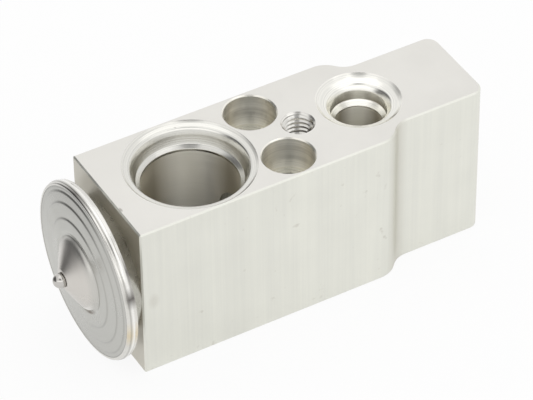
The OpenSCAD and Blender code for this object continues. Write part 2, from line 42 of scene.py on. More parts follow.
# Places on the valve in millimetres: X from the head end of the block, Z from the face that it lies on
BODY_L = 78.0
BODY_T = 35.0
AXIS_Z = 18.3
SUCTION_X = 18.0
FIX_X = 35.3
CLAMP_X = 41.7
OUTLET_X = 45.5
INLET_X = 55.3
POCKET_Y = 7.4


def place(x, y, z):
    """A point given from the head end of the block, in the part's own frame and in metres."""
    return Vector(((x - FIX_X) * MM, y * MM, z * MM))


def direction(azimuth, elevation):
    """The way toward an azimuth and an elevation in degrees."""
    a, e = math.radians(azimuth), math.radians(elevation)
    return Vector((math.sin(a) * math.cos(e), -math.cos(a) * math.cos(e), math.sin(e)))


def put_in_scene(name, data):
    made = bpy.data.objects.new(name, data)
    bpy.context.scene.collection.objects.link(made)
    return made


# Camera, as solved from the photo: its place in metres, its angles in degrees and its lens on a 36 mm frame

CAMERA_PLACE = (-0.256812, -0.451194, 0.471653)
CAMERA_AZIMUTH = -29.580
CAMERA_ELEVATION = 41.134
CAMERA_ROLL = -0.663
CAMERA_LENS = 240.08


def make_camera():
    azimuth, roll = math.radians(CAMERA_AZIMUTH), math.radians(CAMERA_ROLL)
    back = direction(CAMERA_AZIMUTH, CAMERA_ELEVATION)
    right = Vector((math.cos(azimuth), math.sin(azimuth), 0.0))
    up = back.cross(right)
    turned_right = right * math.cos(roll) + up * math.sin(roll)
    turned_up = up * math.cos(roll) - right * math.sin(roll)
    data = bpy.data.cameras.new("photo_camera")
    data.sensor_width = 36.0
    data.lens = CAMERA_LENS
    data.clip_start = 0.01
    data.clip_end = 10.0
    camera = put_in_scene("photo_camera", data)
    turn = Matrix((turned_right, turned_up, back)).transposed().to_4x4()
    camera.matrix_world = Matrix.Translation(Vector(CAMERA_PLACE)) @ turn
    bpy.context.scene.camera = camera


make_camera()


# Meshes

def keep(name, mesh, body, materials, stands_for=()):
    """Puts a finished mesh in the scene as a piece that rides on a body."""
    piece = put_in_scene(name, mesh)
    mesh.materials.clear()
    for material in materials:
        mesh.materials.append(material)
    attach(piece, body)
    if stands_for:
        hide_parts(*stands_for)


def shade(mesh, sharp):
    """Shades a mesh smooth, apart from the edges that turn by more than an angle in degrees."""
    mesh.shade_smooth()
    mesh.set_sharp_from_angle(angle=math.radians(sharp))


def merged_copy(node, name, sharp):
    """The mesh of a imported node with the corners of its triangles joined."""
    work = bmesh.new()
    work.from_mesh(nodes[node].data)
    bmesh.ops.remove_doubles(work, verts=work.verts, dist=2e-7)
    work.verts.index_update()
    points = [v.co.copy() for v in work.verts]
    faces = [[v.index for v in f.verts] for f in work.faces]
    work.free()
    mesh = bpy.data.meshes.new(name)
    mesh.from_pydata(points, [], faces)
    shade(mesh, sharp)
    return mesh


def lathe_mesh(name, outline, segments, sharp):
    """Turns a closed outline of (x, radius) about the valve's axis."""
    count = len(outline)
    points, faces = [], []
    for i in range(segments):
        a = 2 * math.pi * i / segments
        for x, r in outline:
            points.append(place(x, r * math.sin(a), AXIS_Z + r * math.cos(a)))
        j = (i + 1) % segments
        for k in range(count):
            n = (k + 1) % count
            faces.append((i * count + k, i * count + n, j * count + n, j * count + k))
    mesh = bpy.data.meshes.new(name)
    mesh.from_pydata(points, [], faces)
    work = bmesh.new()
    work.from_mesh(mesh)
    bmesh.ops.remove_doubles(work, verts=work.verts, dist=1e-7)
    bmesh.ops.recalc_face_normals(work, faces=work.faces)
    work.to_mesh(mesh)
    work.free()
    shade(mesh, sharp)
    return mesh


# Nodes that the finishes, the floor and the world are made of

WHITE = (1.0, 1.0, 1.0, 1.0)


def empty_tree(owner):
    """The node tree of a material or a world, cleared."""
    owner.use_nodes = True
    owner.node_tree.nodes.clear()
    return owner.node_tree


def add(tree, kind, family="ShaderNode", **settings):
    """Adds a node; a setting in capitals is an input's value or source, the others are the node's own."""
    made = tree.nodes.new(family + kind)
    for key, value in settings.items():
        if not key[0].isupper():
            setattr(made, key, value)
            continue
        socket = made.inputs[key.replace("_", " ")]
        if isinstance(value, bpy.types.NodeSocket):
            tree.links.new(value, socket)
        else:
            socket.default_value = value
    return made


def object_place(tree, centre=(0.0, 0.0, 0.0), scale=(1.0, 1.0, 1.0)):
    """Object coordinates measured from a centre and stretched."""
    where = add(tree, "TexCoord")
    shift = add(tree, "VectorMath", operation="SUBTRACT")
    shift.inputs[1].default_value = centre
    stretch = add(tree, "VectorMath", operation="MULTIPLY")
    stretch.inputs[1].default_value = scale
    tree.links.new(where.outputs["Object"], shift.inputs[0])
    tree.links.new(shift.outputs[0], stretch.inputs[0])
    return stretch.outputs[0]


def split_place(tree, centre):
    """Object coordinates measured from a centre, as a number for each axis."""
    return add(tree, "SeparateXYZ", Vector=object_place(tree, centre)).outputs


def calc(tree, operation, first, second=None):
    """One step of arithmetic, on numbers that are given or come from a node."""
    made = add(tree, "Math", operation=operation)
    for socket, value in zip(made.inputs, (first, second)):
        if isinstance(value, (int, float)):
            socket.default_value = value
        elif value is not None:
            tree.links.new(value, socket)
    return made.outputs[0]


def distance(tree, first, second):
    """How far a point lies from the centre, by its numbers on two axes."""
    squares = [calc(tree, "MULTIPLY", number, number) for number in (first, second)]
    return calc(tree, "SQRT", calc(tree, "ADD", *squares))


def dot(tree, value, way):
    """How far a point or a direction reaches along a fixed way."""
    reach = add(tree, "VectorMath", operation="DOT_PRODUCT")
    tree.links.new(value, reach.inputs[0])
    reach.inputs[1].default_value = way
    return reach.outputs["Value"]


def mottle(tree, vector, scale, detail, dimensions="3D"):
    """A cloudy pattern, or streaks and rings where its coordinates are stretched or a single number."""
    noise = add(tree, "TexNoise", noise_dimensions=dimensions, Scale=scale, Detail=detail, Roughness=0.55)
    tree.links.new(vector, noise.inputs["W" if dimensions == "1D" else "Vector"])
    return noise.outputs["Fac"]


def mixed(tree, first, second, share):
    """Two patterns added up, the first with its share and the second with the rest."""
    return calc(tree, "ADD", calc(tree, "MULTIPLY", first, share), calc(tree, "MULTIPLY", second, 1 - share))


def spread(tree, value, low, high, to_low=0.0, to_high=1.0):
    """Stretches the range from low to high to a wanted range, and holds the ends beyond it."""
    reach = add(tree, "MapRange", From_Min=low, From_Max=high, To_Min=to_low, To_Max=to_high)
    tree.links.new(value, reach.inputs["Value"])
    return reach.outputs[0]


def near_value(tree, value, centre, half, amount):
    """A hump: the amount at the centre, falling to nothing at half its width."""
    away = calc(tree, "ABSOLUTE", calc(tree, "SUBTRACT", value, centre))
    return spread(tree, away, 0.0, half, amount, 0.0)


def spot(tree, centre, halves, amount):
    """A mark at one place: the amount at its middle, fading to nothing at its half widths in millimetres."""
    stretched = object_place(tree, centre, tuple(1.0 / (half * MM) for half in halves))
    away = add(tree, "VectorMath", operation="LENGTH")
    tree.links.new(stretched, away.inputs[0])
    return spread(tree, away.outputs["Value"], 0.35, 1.0, amount, 0.0)


def ring_mark(tree, turned, across, turn, half_turn, line, half, amount):
    """A mark on a ring, placed round it in radians and across it in millimetres, with its strength."""
    here = near_value(tree, turned, turn, half_turn, amount)
    band = near_value(tree, across, line * MM, half * MM, 1.6)
    return calc(tree, "MULTIPLY", calc(tree, "MINIMUM", band, 1.0), here)


def scaled(colour, factor):
    return tuple(c * factor for c in colour)


def blend_colour(tree, factor, first, second):
    """The first colour where the factor is 0 and the second where it is 1."""
    mix = add(tree, "MixRGB", Fac=factor)
    for slot_name, value in (("Color1", first), ("Color2", second)):
        if isinstance(value, tuple):
            mix.inputs[slot_name].default_value = (*value, 1.0)
        else:
            tree.links.new(value, mix.inputs[slot_name])
    return mix.outputs[0]


def two_tones(tree, pattern, low, high, base, dark, light):
    """A base colour that a pattern makes darker and lighter."""
    return blend_colour(tree, spread(tree, pattern, low, high), scaled(base, dark), scaled(base, light))


# Finishes

ALUMINIUM = (0.80, 0.785, 0.745)
ALUMINIUM_SIDE = (0.83, 0.83, 0.765)
ALUMINIUM_CUT = (0.80, 0.79, 0.745)
# Painted light: the pockets' faces are a lighter copy of the cut aluminium
LIT_POCKET_CUT = (0.97, 0.95, 0.87)
STAINLESS = (0.56, 0.55, 0.52)
CAP_STAINLESS = (0.556, 0.553, 0.520)
# Painted light: the rim's stainless is a lighter copy of the sheet's, for the light on its bright edge
LIT_RIM_STAINLESS = scaled(STAINLESS, 1.35)

# Colours of the marks
BRUISE = (0.16, 0.14, 0.11)
# Scuffs and the smudge, and the painted shade beside the shoulders
SCUFF_AND_SHADE = (0.52, 0.49, 0.42)
CONE = (0.76, 0.715, 0.67)
# Painted highlight on the cap's cone
PAINTED_HIGHLIGHT = (0.98, 0.96, 0.92)
# Painted shade in the groove round the cap's cone
PAINTED_GROOVE_SHADE = (0.20, 0.17, 0.14)
# Painted highlight along the weld's crown
CROWN_HIGHLIGHT = (0.97, 0.96, 0.93)
RIM_DARK_MARK = (0.13, 0.12, 0.11)

# Marks at one place: middle, half widths in millimetres, and strength
BURR = (place(0.5, -5.0, BODY_T), (0.35, 0.8, 0.6), 0.5)
SMUDGE = (place(2.4, -13.4, 17.6), (1.4, 2.0, 2.2), 0.22)
NICK = (place(21.07, 11.33, BODY_T), (0.30, 0.30, 0.8), 0.8)

# Painted shade: a darker line beside each shoulder, its X and half width in millimetres
SHOULDER_SHADE_X = 57.2
SHOULDER_SHADE_HALF = 3.2

# Level way from the camera to the valve; the far wall of each upright bore faces back along it, and the bore
# walls are painted with light and shade by how square they face it
FROM_CAMERA = (0.494, 0.870, 0.0)

# Painted highlight and painted shade on the cap's cone: turn and half turn in radians, radius and half width
# in millimetres, and strength
CONE_HIGHLIGHT = (-2.50, 0.55, 6.90, 0.55, 0.7)
CONE_GROOVE_SHADE = (-2.66, 0.46, 7.95, 0.42, 1.0)

# On the rim: turn of the heat tint in radians, and X of the weld's crown, where a highlight is painted, and
# of the dark line of painted shade beside it, in millimetres
STRAW_TURN = -1.71
CROWN_X = -4.35
VALLEY_SHADE_X = -4.90

# Dark marks on the rim: turn and half turn in radians, X and half width in millimetres, and strength
RIM_MARKS = [
    (0.12, 0.42, -5.35, 0.55, 0.85),
    (-0.95, 0.30, -3.65, 0.42, 0.85),
    (-1.24, 0.13, -4.2, 1.4, 0.95),
]


def start_material(name, base, roughness, metallic=1.0):
    material = bpy.data.materials.new(name)
    tree = empty_tree(material)
    shader = add(tree, "BsdfPrincipled", Base_Color=(*base, 1.0), Metallic=metallic, Roughness=roughness)
    tree.links.new(shader.outputs[0], add(tree, "OutputMaterial").inputs[0])
    return material, tree, shader


def vary_roughness(tree, shader, pattern, low, high, less, more):
    """Lets a pattern take the roughness below and above its given value."""
    given = shader.inputs["Roughness"].default_value
    tree.links.new(spread(tree, pattern, low, high, given - less, given + more), shader.inputs["Roughness"])


def relief(tree, shader, height, depth, strength):
    """Raises what a pattern shows light, by a depth in metres."""
    bump = add(tree, "Bump", Strength=strength, Distance=depth, Height=height)
    tree.links.new(bump.outputs[0], shader.inputs["Normal"])


def spread_light(tree, shader, amount, along):
    """Fine tool lines spread the light across themselves; along is the way across the lines."""
    shader.inputs["Anisotropic"].default_value = amount
    tree.links.new(along, shader.inputs["Tangent"])


def milled_aluminium(name, base, roughness):
    """Fine matte face left by a sharp face mill, with a burr at the head end's edge."""
    material, tree, shader = start_material(name, base, roughness)
    cloud = mottle(tree, object_place(tree), 70.0, 4.0)
    plain = two_tones(tree, cloud, 0.35, 0.65, base, 0.975, 1.015)
    tree.links.new(blend_colour(tree, spot(tree, *BURR), plain, BRUISE), shader.inputs["Base Color"])
    feed = mottle(tree, object_place(tree, scale=(1.0, 0.06, 1.0)), 5200.0, 2.0)
    grain = mottle(tree, object_place(tree), 9000.0, 1.0)
    vary_roughness(tree, shader, grain, 0.3, 0.7, 0.04, 0.05)
    relief(tree, shader, feed, 4 * MICRON, 0.5)
    return material


def extruded_aluminium(name, base, roughness):
    """Side face: the die's fine lines along Z, scuffs, a smudge and a darker line of painted shade beside
    each shoulder.
    """
    material, tree, shader = start_material(name, base, roughness)
    lines = mottle(tree, object_place(tree, scale=(1.0, 1.0, 0.012)), 1500.0, 3.0)
    broad = mottle(tree, object_place(tree, scale=(1.0, 1.0, 0.05)), 260.0, 3.0)
    cloud = mottle(tree, object_place(tree), 90.0, 3.0)
    streaks = mixed(tree, lines, broad, 0.45)
    plain = two_tones(tree, mixed(tree, streaks, cloud, 0.75), 0.38, 0.62, base, 0.95, 1.03)
    scuffs = spread(tree, mottle(tree, object_place(tree), 420.0, 2.0), 0.70, 0.78, 0.0, 0.35)
    # Painted shade: a darker line beside each shoulder
    run = split_place(tree, place(SHOULDER_SHADE_X, 0, 0))["X"]
    shoulder_shade = near_value(tree, run, 0.0, SHOULDER_SHADE_HALF * MM, 0.50)
    marks = calc(tree, "MAXIMUM", calc(tree, "MAXIMUM", scuffs, spot(tree, *SMUDGE)), shoulder_shade)
    tree.links.new(blend_colour(tree, marks, plain, SCUFF_AND_SHADE), shader.inputs["Base Color"])
    vary_roughness(tree, shader, streaks, 0.35, 0.65, 0.05, 0.07)
    relief(tree, shader, streaks, 12 * MICRON, 0.5)
    return material


def turned_aluminium(name, base, roughness, centre, axis="Z"):
    """Bored and faced finish: fine rings about the cutter's axis, and the nick beside the suction port."""
    material, tree, shader = start_material(name, base, roughness)
    split = split_place(tree, centre)
    first, second = (split[across] for across in {"Z": "XY", "X": "YZ"}[axis])
    feed = calc(tree, "ADD", calc(tree, "MULTIPLY", distance(tree, first, second), 0.3), split[axis])
    rings = mottle(tree, feed, 9000.0, 2.0, "1D")
    bands = mottle(tree, feed, 2250.0, 2.0, "1D")
    marks = mixed(tree, rings, bands, 0.6)
    plain = two_tones(tree, marks, 0.35, 0.65, base, 0.86, 1.05)
    tree.links.new(blend_colour(tree, spot(tree, *NICK), plain, BRUISE), shader.inputs["Base Color"])
    vary_roughness(tree, shader, marks, 0.3, 0.7, 0.03, 0.04)
    relief(tree, shader, marks, 3 * MICRON, 0.4)
    if axis == "Z":
        outward = add(tree, "VectorMath", operation="NORMALIZE")
        tree.links.new(object_place(tree, centre, (1.0, 1.0, 0.0)), outward.inputs[0])
        along = add(tree, "VectorMath", operation="ADD")
        tree.links.new(outward.outputs[0], along.inputs[0])
        along.inputs[1].default_value = (0.0, 0.0, 1.0)
        spread_light(tree, shader, 0.6, along.outputs[0])
    return material


def bored_wall(name, middle, sides, roughness, line_share=0.35, worn_share=0.92, fine=5200.0):
    """Wall of an upright bore: level lines that spread light up and down, and painted light and shade: one
    tone where the wall faces along the camera's level way, the other where it faces across it.
    """
    material, tree, shader = start_material(name, middle, roughness)
    lines = mottle(tree, object_place(tree, scale=(0.02, 0.02, 1.0)), fine, 2.0)
    cloud = mottle(tree, object_place(tree, scale=(1.0, 1.0, 0.2)), 150.0, 3.0)
    wear = spread(tree, mixed(tree, lines, cloud, line_share), 0.36, 0.64)
    # Painted reflection bands: the wall takes the middle tone where it faces along the camera's level way and
    # the other tone where it faces across it
    across = dot(tree, add(tree, "TexCoord").outputs["Normal"], FROM_CAMERA)
    turned = spread(tree, calc(tree, "ABSOLUTE", across), 0.66, 0.97)
    plain = blend_colour(tree, turned, sides, middle)
    worn = blend_colour(tree, turned, scaled(sides, worn_share), scaled(middle, worn_share))
    tree.links.new(blend_colour(tree, wear, worn, plain), shader.inputs["Base Color"])
    vary_roughness(tree, shader, lines, 0.3, 0.7, 0.05, 0.05)
    relief(tree, shader, lines, 10 * MICRON, 0.6)
    spread_light(tree, shader, 1.0, add(tree, "CombineXYZ", Z=1.0).outputs[0])
    return material


def cone_marks(tree, colour, split, radius):
    """The cap's warmer cone, a painted highlight on its lower flank and a crescent of painted shade in the
    groove below.
    """
    around = calc(tree, "ARCTAN2", split["Y"], split["Z"])
    cone = spread(tree, radius, 8.0 * MM, 6.0 * MM, 0.0, 0.55)
    colour = blend_colour(tree, cone, colour, CONE)
    colour = blend_colour(tree, ring_mark(tree, around, radius, *CONE_HIGHLIGHT), colour, PAINTED_HIGHLIGHT)
    return blend_colour(tree, ring_mark(tree, around, radius, *CONE_GROOVE_SHADE), colour, PAINTED_GROOVE_SHADE)


def pressed_stainless(name, base, roughness, crease_shades=()):
    """Spun sheet of the power head: concentric lines, and on the cap painted shade along its steps and its
    edge groove, and its cone's marks.
    """
    material, tree, shader = start_material(name, base, roughness)
    split = split_place(tree, place(0, 0, AXIS_Z))
    radius = distance(tree, split["Y"], split["Z"])
    rings = mottle(tree, radius, 5200.0, 2.0, "1D")
    cloud = mottle(tree, object_place(tree), 160.0, 4.0)
    colour = two_tones(tree, mixed(tree, rings, cloud, 0.5), 0.38, 0.62, base, 0.97, 1.03)
    # Painted shade: the sheet is darkened along each step of the cap and along the groove by its edge
    for crease_r, half, amount in crease_shades:
        crease_shade = near_value(tree, radius, crease_r * MM, half * MM, amount)
        colour = blend_colour(tree, crease_shade, colour, scaled(base, 0.45))
    if crease_shades:
        colour = cone_marks(tree, colour, split, radius)
    tree.links.new(colour, shader.inputs["Base Color"])
    vary_roughness(tree, shader, cloud, 0.3, 0.7, 0.05, 0.07)
    relief(tree, shader, rings, 4 * MICRON, 0.5)
    return material


def welded_rim(name, base, roughness):
    """Bright edge of the head: a painted highlight on the weld's crown, its ripples, a dark line of painted
    shade beside it, heat tint and dark marks.
    """
    material, tree, shader = start_material(name, base, roughness)
    split = split_place(tree, place(0, 0, AXIS_Z))
    around = calc(tree, "ARCTAN2", split["Y"], split["Z"])
    cloud = mottle(tree, object_place(tree), 160.0, 3.0)
    plain = two_tones(tree, cloud, 0.38, 0.64, base, 0.93, 1.04)
    straw = near_value(tree, around, STRAW_TURN, 0.20, 0.9)
    heated = blend_colour(tree, straw, plain, (base[0] * 0.98, base[1] * 0.86, base[2] * 0.64))
    # Painted highlight along the weld's crown
    crown_highlight = near_value(tree, split["X"], CROWN_X * MM, 0.50 * MM, 0.9)
    colour = blend_colour(tree, crown_highlight, heated, CROWN_HIGHLIGHT)
    # Painted shade in the groove beside the weld
    valley_shade = near_value(tree, split["X"], VALLEY_SHADE_X * MM, 0.22 * MM, 0.55)
    colour = blend_colour(tree, valley_shade, colour, scaled(base, 0.40))
    for where in RIM_MARKS:
        colour = blend_colour(tree, ring_mark(tree, around, split["X"], *where), colour, RIM_DARK_MARK)
    tree.links.new(colour, shader.inputs["Base Color"])
    vary_roughness(tree, shader, cloud, 0.3, 0.7, 0.03, 0.08)
    relief(tree, shader, mottle(tree, around, 46.0, 1.0, "1D"), 60 * MICRON, 0.22)
    return material


def plain_metal(name, base, roughness):
    """Smooth metal with a faint grain."""
    material, tree, shader = start_material(name, base, roughness)
    cloud = mottle(tree, object_place(tree), 300.0, 3.0)
    tree.links.new(two_tones(tree, cloud, 0.35, 0.65, base, 0.92, 1.03), shader.inputs["Base Color"])
    vary_roughness(tree, shader, cloud, 0.3, 0.7, 0.04, 0.06)
    relief(tree, shader, mottle(tree, object_place(tree), 2500.0, 2.0), 4 * MICRON, 0.5)
    return material


def soft_plastic(name, base, roughness):
    """Rubber or plastic with a faint grain."""
    material, tree, shader = start_material(name, base, roughness, metallic=0.0)
    cloud = mottle(tree, object_place(tree), 500.0, 3.0)
    tree.links.new(two_tones(tree, cloud, 0.35, 0.65, base, 0.85, 1.1), shader.inputs["Base Color"])
    relief(tree, shader, mottle(tree, object_place(tree), 6000.0, 2.0), 8 * MICRON, 0.5)
    return material


# Valve block

# Mouths on the pipe face as they were turned, from the face down to the bore: radius and depth
SUCTION_MOUTH = [(13.05, 0.0), (12.5, 0.45), (11.6, 0.6), (11.32, 1.07), (10.95, 1.95), (10.42, 3.82),
                 (9.55, 4.35), (9.55, 4.9)]
INLET_MOUTH = [(8.45, 0.0), (7.55, 0.74), (6.45, 1.1), (6.2, 1.35), (5.6, 2.2), (5.5, 4.3), (4.6, 5.3),
               (4.6, 5.5)]
MOUTH_EASE = 0.07
MOUTH_SEGMENTS = 192
SEAL_DEPTH = 1.9

# Places of the finishes in the block's list
(SIDE, FACE, SUCTION_CUT, INLET_CUT, OUTLET_CUT, NEAR_POCKET_CUT, FAR_POCKET_CUT, CLAMP_CUT, AXIS_CUT,
 SAWN_END, BORE_WALL, SEAL_CUT, POCKET_WALL) = range(13)

# Upright holes: finish, centre, and in millimetres how far out and between which heights their faces lie
UPRIGHTS = [
    (SUCTION_CUT, place(SUCTION_X, 0, 0), 13.4, 0.0, BODY_T),
    (INLET_CUT, place(INLET_X, 0, 0), 8.9, 20.0, BODY_T),
    (OUTLET_CUT, place(OUTLET_X, 0, 0), 8.9, 0.0, 21.5),
    (NEAR_POCKET_CUT, place(FIX_X, -POCKET_Y, 0), 5.6, 0.0, BODY_T),
    (FAR_POCKET_CUT, place(FIX_X, POCKET_Y, 0), 5.6, 0.0, BODY_T),
    (CLAMP_CUT, place(CLAMP_X, 0, 0), 3.9, 20.0, BODY_T),
]
AXIS_REACH = 12.4

# Shares of a face's normal that count as square to an axis, as no upright wall, and as a hole's face at all
SQUARE = 0.99
LEANING = 0.3
BELONGS = 0.4

# How well faces that are square to the upright holes' axes, and to the valve's, count as the hole's
UPRIGHT_SQUARE_SCORE = 0.95
AXIS_SQUARE_SCORE = 0.9

# How close to the block's two level faces a face must lie to be theirs, in millimetres
ON_FACE = 0.001

BLOCK_SHARP = 30.0


def eased_outline(outline, ease):
    """Cuts each inner corner of an outline to a small flat, as a turned edge has."""
    eased = [Vector(outline[0])]
    for before, corner, after in zip(outline, outline[1:], outline[2:]):
        corner = Vector(corner)
        for other in (before, after):
            way = Vector(other) - corner
            eased.append(corner + way.normalized() * min(ease, 0.3 * way.length))
    eased.append(Vector(outline[-1]))
    return eased


def turn_mouth(mesh, centre_x, outline, upper_finish, lower_finish):
    """Takes the plain mouth out of a copy of the block and puts the turned one in its place."""
    centre = place(centre_x, 0, 0)
    reach = outline[0][0] * MM + 2 * MICRON
    floor = (BODY_T - outline[-1][1]) * MM - 2 * MICRON

    def in_mouth(point):
        return math.hypot(point.x - centre.x, point.y) < reach and point.z > floor

    work = bmesh.new()
    work.from_mesh(mesh)
    plain = [f for f in work.faces if all(in_mouth(v.co) for v in f.verts)]
    bmesh.ops.delete(work, geom=plain, context="FACES")
    turns = [2 * math.pi * i / MOUTH_SEGMENTS for i in range(MOUTH_SEGMENTS)]
    rings, depths = [], []
    for r, depth in eased_outline(outline, MOUTH_EASE):
        depths.append(depth)
        circle = [place(centre_x + r * math.cos(a), r * math.sin(a), BODY_T - depth) for a in turns]
        rings.append([work.verts.new(point) for point in circle])
    for outer, inner, depth in zip(rings, rings[1:], depths):
        for i in range(MOUTH_SEGMENTS):
            j = (i + 1) % MOUTH_SEGMENTS
            face = work.faces.new((outer[i], outer[j], inner[j], inner[i]))
            face.smooth = True
            face.material_index = lower_finish if depth > SEAL_DEPTH else upper_finish
    work.to_mesh(mesh)
    work.free()


def inward_score(facing, along_axis, outward, square_score):
    """How well a face looks toward an axis; one that is square to the axis has a score of its own."""
    if abs(along_axis) > SQUARE:
        return square_score
    if outward.length > 1e-7:
        return -facing.dot(outward.normalized())
    return 0.0


def hole_finish(number, facing):
    """The finish of a face in an upright hole, whose wall has another than its floor and its cones."""
    if abs(facing.z) > LEANING or number == CLAMP_CUT:
        return number
    return POCKET_WALL if number in (NEAR_POCKET_CUT, FAR_POCKET_CUT) else BORE_WALL


def block_finish(mid, facing):
    """The finish of the cut that made a face of the block, by its middle and the way that it faces."""
    z = mid.z / MM
    if abs(facing.z) > SQUARE and (z > BODY_T - ON_FACE or z < ON_FACE):
        return FACE
    if min(abs(mid.x - place(end, 0, 0).x) for end in (0.0, BODY_L)) < MICRON:
        return SAWN_END
    best, choice = BELONGS, SIDE
    for number, centre, reach, low_z, high_z in UPRIGHTS:
        out = Vector((mid.x - centre.x, mid.y - centre.y, 0))
        if out.length > reach * MM or z < low_z or z > high_z:
            continue
        score = inward_score(facing, facing.z, out, UPRIGHT_SQUARE_SCORE)
        if score > best:
            best, choice = score, hole_finish(number, facing)
    radial = Vector((0, mid.y, mid.z - AXIS_Z * MM))
    score = inward_score(facing, facing.x, radial, AXIS_SQUARE_SCORE)
    return AXIS_CUT if radial.length < AXIS_REACH * MM and score > best else choice


def dress_block():
    """Gives each face of the block its finish, and the two ports their turned mouths."""
    finishes = [
        extruded_aluminium("extruded_side", ALUMINIUM_SIDE, 0.42),
        milled_aluminium("milled_face", ALUMINIUM, 0.40),
        turned_aluminium("suction_port_cut", ALUMINIUM_CUT, 0.20, place(SUCTION_X, 0, 0)),
        # Painted light: the inlet's mouth is a lighter copy of the cut aluminium
        turned_aluminium("inlet_port_cut", scaled(ALUMINIUM_CUT, 1.15), 0.20, place(INLET_X, 0, 0)),
        turned_aluminium("outlet_port_cut", ALUMINIUM, 0.22, place(OUTLET_X, 0, 0)),
        turned_aluminium("near_pocket_cut", LIT_POCKET_CUT, 0.24, place(FIX_X, -POCKET_Y, 0)),
        turned_aluminium("far_pocket_cut", LIT_POCKET_CUT, 0.24, place(FIX_X, POCKET_Y, 0)),
        turned_aluminium("clamp_hole_cut", ALUMINIUM, 0.18, place(CLAMP_X, 0, 0)),
        turned_aluminium("axis_bore_cut", ALUMINIUM, 0.26, place(0, 0, AXIS_Z), axis="X"),
        milled_aluminium("sawn_end", (0.69, 0.665, 0.59), 0.36),
        # Bore and pocket walls: tones painted by how square the wall faces the camera's level way; the bores
        # are painted lighter there, the pockets darker
        bored_wall("bored_wall", (0.98, 0.955, 0.86), (0.62, 0.575, 0.47), 0.40),
        # Painted shade: the suction mouth below its seal depth is a darker copy of the cut aluminium
        turned_aluminium("suction_seal_cut", scaled(ALUMINIUM_CUT, 0.93), 0.20, place(SUCTION_X, 0, 0)),
        bored_wall("pocket_wall", (0.83, 0.82, 0.76), (0.98, 0.94, 0.84), 0.34,
                   line_share=0.85, worn_share=0.84, fine=2600.0),
    ]
    mesh = merged_copy("valve_block", "valve_block_metal", BLOCK_SHARP)
    keep("valve_block_metal", mesh, "valve_body", finishes, ["valve_block"])
    for face in mesh.polygons:
        face.material_index = block_finish(face.center, face.normal)
    turn_mouth(mesh, SUCTION_X, SUCTION_MOUTH, SUCTION_CUT, SEAL_CUT)
    turn_mouth(mesh, INLET_X, INLET_MOUTH, INLET_CUT, INLET_CUT)
    mesh.set_sharp_from_angle(angle=math.radians(BLOCK_SHARP))


dress_block()


# Power head, in millimetres; its front looks along -X

CAP_FACE_X = -4.65
RIM_FRONT_X = -5.55
SHEET_R = 18.0
EDGE_R = 0.36
DOME_FOOT_R = 8.7
DOME_TIP_R = 2.0
STEP_RADII = (16.3, 14.1, 10.95)
STEP_H = 0.18
STEP_PITCH = 0.34
STEP_RUN = 0.25
STEP_EASE = 0.18
DOME_EASE = 0.17
DOME_EASE_R = 9.0

# Shallow groove between the weld and the cap's flat
EDGE_GROOVE_R = 17.25
EDGE_GROOVE_DEPTH = 0.05
EDGE_GROOVE_HALF = 0.12

# The cap's front is drawn from this radius in, step by step; its edge is drawn in a few parts of its own
FRONT_R = 17.4
FRONT_STEP = 0.1
FRONT_POINTS = 155
EDGE_PARTS = 8

# Hollow flank of the cap's dome and the groove round its foot, as pressed: radius and height over the foot
DOME_FLANK = [(8.7, 0.0), (8.4, -0.06), (8.1, -0.18), (7.8, -0.24), (7.6, -0.15), (7.35, 0.25), (7.0, 0.60),
              (6.3, 1.02), (5.0, 1.75), (3.5, 2.58), (2.0, 3.4)]

# Back of the sheet: X from the tip and radius, then X from the rim's front and radius, and where it ends
CONE_BACK = [(0.0, 1.9), (0.1, 1.5), (1.35, 0.95), (1.0, 2.0), (1.5, 4.0), (2.6, 6.0)]
SHEET_BACK = [(-0.4, 7.6), (0.22, 10.9), (0.72, 14.8)]
BACK_END_R = 15.6
CAP_SEGMENTS = 256

# Where the sheet's finish gives way to the rim's
CAP_RIM_R = 17.42
BASE_RIM_R = 17.6

BALL_R = 1.5
BALL_FORWARD = 4.9


def height_between(knots, r):
    """The height at a radius, on straight lines between knots that run inward."""
    for (r0, h0), (r1, h1) in zip(knots, knots[1:]):
        if r1 <= r <= r0:
            return h0 + (h1 - h0) * (r0 - r) / (r0 - r1)
    return 0.0


def cap_height(r):
    """How far the cap stands in front of its rim at a radius, before its edges are eased."""
    foot_h = 3 * STEP_PITCH
    if r <= DOME_FOOT_R:
        return foot_h + height_between(DOME_FLANK, r)
    knots = [(SHEET_R, 0.0)]
    for number, step_r in enumerate(STEP_RADII):
        knots += [(step_r + STEP_RUN, number * STEP_PITCH), (step_r, number * STEP_PITCH + STEP_H)]
    knots.append((DOME_FOOT_R, foot_h))
    return height_between(knots, r)


def eased_height(r, reach):
    """The cap's height, taken as the middle of nine heights within a reach either way."""
    near = [cap_height(min(max(r + reach * k / 4, DOME_TIP_R), SHEET_R)) for k in range(-4, 5)]
    return sum(near) / len(near)


def cap_outline():
    """The cap's closed outline of (x, radius): round its edge, in over the front and back out behind."""
    outline = [(CAP_FACE_X, SHEET_R)]
    for i in range(EDGE_PARTS + 1):
        a = math.radians(90 * i / EDGE_PARTS)
        x, r = EDGE_R - EDGE_R * math.sin(a), EDGE_R * math.cos(a) - EDGE_R
        outline.append((RIM_FRONT_X + x, SHEET_R + r))
    for i in range(FRONT_POINTS):
        r = FRONT_R - FRONT_STEP * i
        groove = EDGE_GROOVE_DEPTH * math.exp(-((r - EDGE_GROOVE_R) / EDGE_GROOVE_HALF) ** 2)
        height = eased_height(r, STEP_EASE if r > DOME_EASE_R else DOME_EASE)
        outline.append((RIM_FRONT_X - height + groove, r))
    tip_x = RIM_FRONT_X - cap_height(DOME_TIP_R)
    outline += [(tip_x + x, r) for x, r in CONE_BACK]
    outline += [(RIM_FRONT_X + x, r) for x, r in SHEET_BACK]
    outline.append((CAP_FACE_X, BACK_END_R))
    return outline


